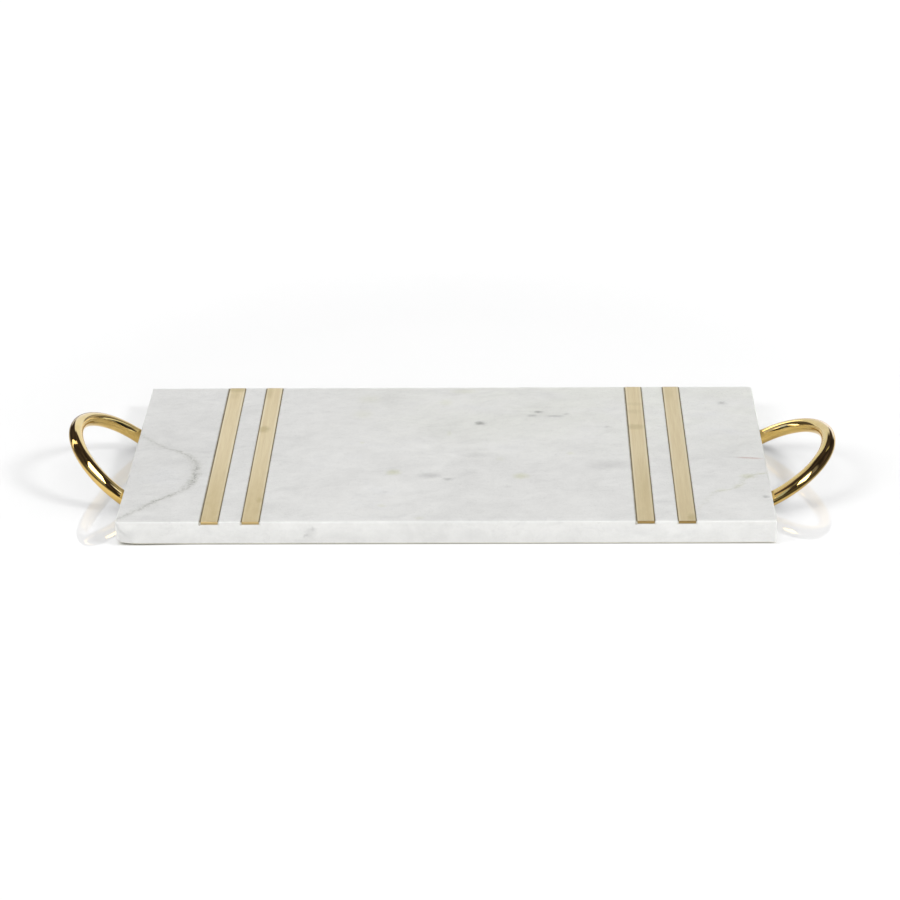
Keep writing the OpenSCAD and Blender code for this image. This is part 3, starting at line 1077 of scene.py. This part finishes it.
def make_room(name, radius, low, high, patches, receivers, tint=(1, 0.87, 1.15)):
    """A dim room with brighter patches, which shows only in the receivers' reflections.

    A patch is (azimuth, half its width, lower edge, upper edge, softness, colour); the
    first five are in degrees. low and high are the levels of the room's own dim clouds.
    """
    t = Tree(name)
    toward = t.vec("NORMALIZE", t.point)
    x, y, z = t.xyz(toward)
    azimuth = t.times(t.math("ARCTAN2", x, y), math.degrees(1))
    elevation = t.times(t.math("ARCSINE", z), math.degrees(1))
    clouds = t.noise(toward, 2.2, 3, 0.5)
    colour = t.vec("SCALE", tint, scale=t.ramp(clouds, 0.35, 0.7, low, high))
    for middle, half, bottom, top, soft, light in patches:
        off = t.abs(t.math("WRAP", t.minus(azimuth, middle), -180, 180))
        inside = t.times(
            t.ramp(off, half + soft, half - soft), t.ramp(elevation, bottom - soft, bottom + soft),
            t.ramp(elevation, top + soft, top - soft))
        colour = t.mix(inside, colour, light)
    only_in_reflections(dome(name, radius), see_through_glow(t, colour), *receivers)


# What each handle reflects: the patches of its room, and its panels
LEFT_ROOM = (
    (-150, 20, -8, 8, 4, (0.22, 0.24, 0.23)),
    (-116, 12, -8, 26, 6, (0.12, 0.115, 0.11)),
    (90, 40, 30, 50, 5, (0.65, 0.72, 0.9)),
    (112, 13, 38, 58, 4, (1.4, 1.65, 2.8)),
    (40, 9, -8, 30, 4, (0.5, 0.52, 0.62)),
    (53, 6, 0, 20, 4, (0.1, 0.1, 0.12)),
    (83, 7, -8, 28, 4, (0.42, 0.5, 0.7)),
    (68, 6, -8, 30, 3, (1.1, 1.3, 1.8)),
    (93, 14, 5, 21, 3, (0.02, 0.03, 0.04)),
    (139, 17, -8, 36, 4, (1.2, 1.4, 1.8)),
    (5, 22.5, -20, 42, 3, (1.02, 1.18, 1.68)),
    (-22, 8, -20, 11, 4, (0.7, 0.8, 1.2)),
    (-138, 21, 16, 33, 4, (0.42, 0.5, 0.65)),
)
LEFT_PANELS = (
    (7, (-163, 35), (-121, 35), (-108, 77), (165, 72)),
    (1.3, (-74, -12), (-67, -12), (-67, 17), (-74, 17)),
    (2.6, (-74, 17), (-66, 17), (-65, 40), (-73, 40)),
    (1.6, (-73, 40), (-65, 40), (-52, 52), (-59, 55)),
)
RIGHT_ROOM = (
    (-70, 46, 44, 72, 9, (0.62, 0.56, 0.62)),
    (-52, 34, 50, 70, 7, (0.78, 0.86, 1.15)),
    (-100, 30, 24, 52, 6, (0.58, 0.64, 0.9)),
    (-138, 12, -8, 30, 5, (0.8, 0.78, 0.7)),
    (-168, 19, -8, 48, 5, (0.65, 0.62, 0.62)),
    (-114, 9, -8, 10, 4, (0.15, 0.2, 0.25)),
    (-120, 8, 9, 24, 3, (0.03, 0.03, 0.02)),
    (-90, 12, 20, 32, 4, (0.8, 1.05, 2)),
    (-62, 10, 2, 29, 4, (0.11, 0.11, 0.13)),
    (-16, 31, -20, 30, 4, (0.88, 1, 1.35)),
    (-24, 22, 26, 48, 4, (0.86, 0.98, 1.3)),
    (22, 16, -20, 13, 5, (1.2, 1.4, 2.2)),
    (52, 4, 38, 50, 3, (0.6, 0.65, 0.6)),
    (112, 8, 10, 50, 5, (0.24, 0.26, 0.4)),
    (135, 13, 46, 60, 4, (0.42, 0.49, 0.75)),
    (160, 10, 38, 60, 5, (0.24, 0.26, 0.3)),
    (174, 8, -8, 36, 4, (0.5, 0.65, 0.95)),
)
RIGHT_PANELS = (
    (7, (117, 38), (141, 36), (140, 15), (121, 4)),
    (4.5, (-90, -8), (-78, -8), (-78, 23), (-90, 23)),
    (2.6, (-68, 56), (-62, 61), (-38, 44), (-43, 40)),
    (2.6, (-43, 40), (-38, 44), (-18, 29), (-22, 25)),
    (1.7, (-112, 28), (-100, 28), (-100, 37), (-112, 37)),
    (1.6, (-119, 46), (-135, 59), (-158, 43), (-141, 30)),
    (1.7, (-141, 30), (-158, 43), (-184, 16), (-168, 5)),
)


def make_world():
    """Even white light, which the camera sees as white and reflections don't see."""
    world = bpy.data.worlds.new("studio")
    scene.world = world
    world.use_nodes = True
    nodes, links = world.node_tree.nodes, world.node_tree.links
    back = nodes["Background"]
    back.inputs["Color"].default_value = (1, 1, 1, 1)
    path = nodes.new("ShaderNodeLightPath")
    level = nodes.new("ShaderNodeMapRange")
    level.inputs["To Min"].default_value = 0.42
    links.new(path.outputs["Is Camera Ray"], level.inputs["Value"])
    links.new(level.outputs["Result"], back.inputs["Strength"])
    world.cycles_visibility.glossy = False


floor = make_floor()
make_world()
handles = {side: bpy.data.objects[side + "_handle_rod"] for side in HANDLES}
flat_pieces = [ob for ob in PIECES if ob not in handles.values()]

card("rear_card", -5, 28, 1.35, 1.35, 1.5, 0.8, flat_pieces)
card("front_left_card", -150, 56, 1.3, 1.35, 1.1, 5, flat_pieces)
card("front_right_card", 136, 24, 1.5, 0.9, 1.3, 0.65, flat_pieces)
card("rear_left_card", -58, 25, 1.4, 0.8, 1.2, 0.6, flat_pieces)
make_room("plain_room", 9, 0.02, 0.13, (), flat_pieces)
for side, radius, room, table in (
    ("left", 9.2, LEFT_ROOM, LEFT_PANELS), ("right", 9.4, RIGHT_ROOM, RIGHT_PANELS),
):
    make_room(side + "_room", radius, 0.025, 0.08, room, [handles[side]])
    panels(side + "_panel", 1.2, table, [handles[side]])
make_room("white_room", 9.6, 1, 1, (), [floor], tint=(1, 1, 1))

key_light("key_left", -112, 42, 3.2, 1.6, 32)
key_light("key_right", 110, 42, 2.8, 0.6, 25)
key_light("key_front", 165, 20, 2, 1, 7.5)
slab = bpy.data.objects["polished_slab"]
light_only(key_light("fill_left_end", -90, 2, 2, 1, 15), slab)
light_only(key_light("fill_right_end", 90, 2, 2, 1, 19), slab)
light_only(key_light("floor_overhead", 0, 88, 4.5, 8, 108), floor)

# ---- camera
CAMERA_AT = Vector((0.04145, -1.59818, 0.76798))
YAW, PITCH, ROLL = (math.radians(v) for v in (-1.45, 25.17, 0.79))
ahead = Vector((math.sin(YAW) * math.cos(PITCH), math.cos(YAW) * math.cos(PITCH), -math.sin(PITCH)))
level = Vector((math.cos(YAW), -math.sin(YAW), 0))
below = ahead.cross(level)
axis_x = level * math.cos(ROLL) + below * math.sin(ROLL)
axis_down = -level * math.sin(ROLL) + below * math.cos(ROLL)
view = bpy.data.cameras.new("camera")
view.sensor_width, view.lens = 36, 111.1
view.clip_start, view.clip_end = 0.05, 100
camera = bpy.data.objects.new("camera", view)
turn = Matrix((axis_x, -axis_down, -ahead)).transposed()
camera.matrix_world = Matrix.Translation(CAMERA_AT) @ turn.to_4x4()
scene.collection.objects.link(camera)
scene.camera = camera
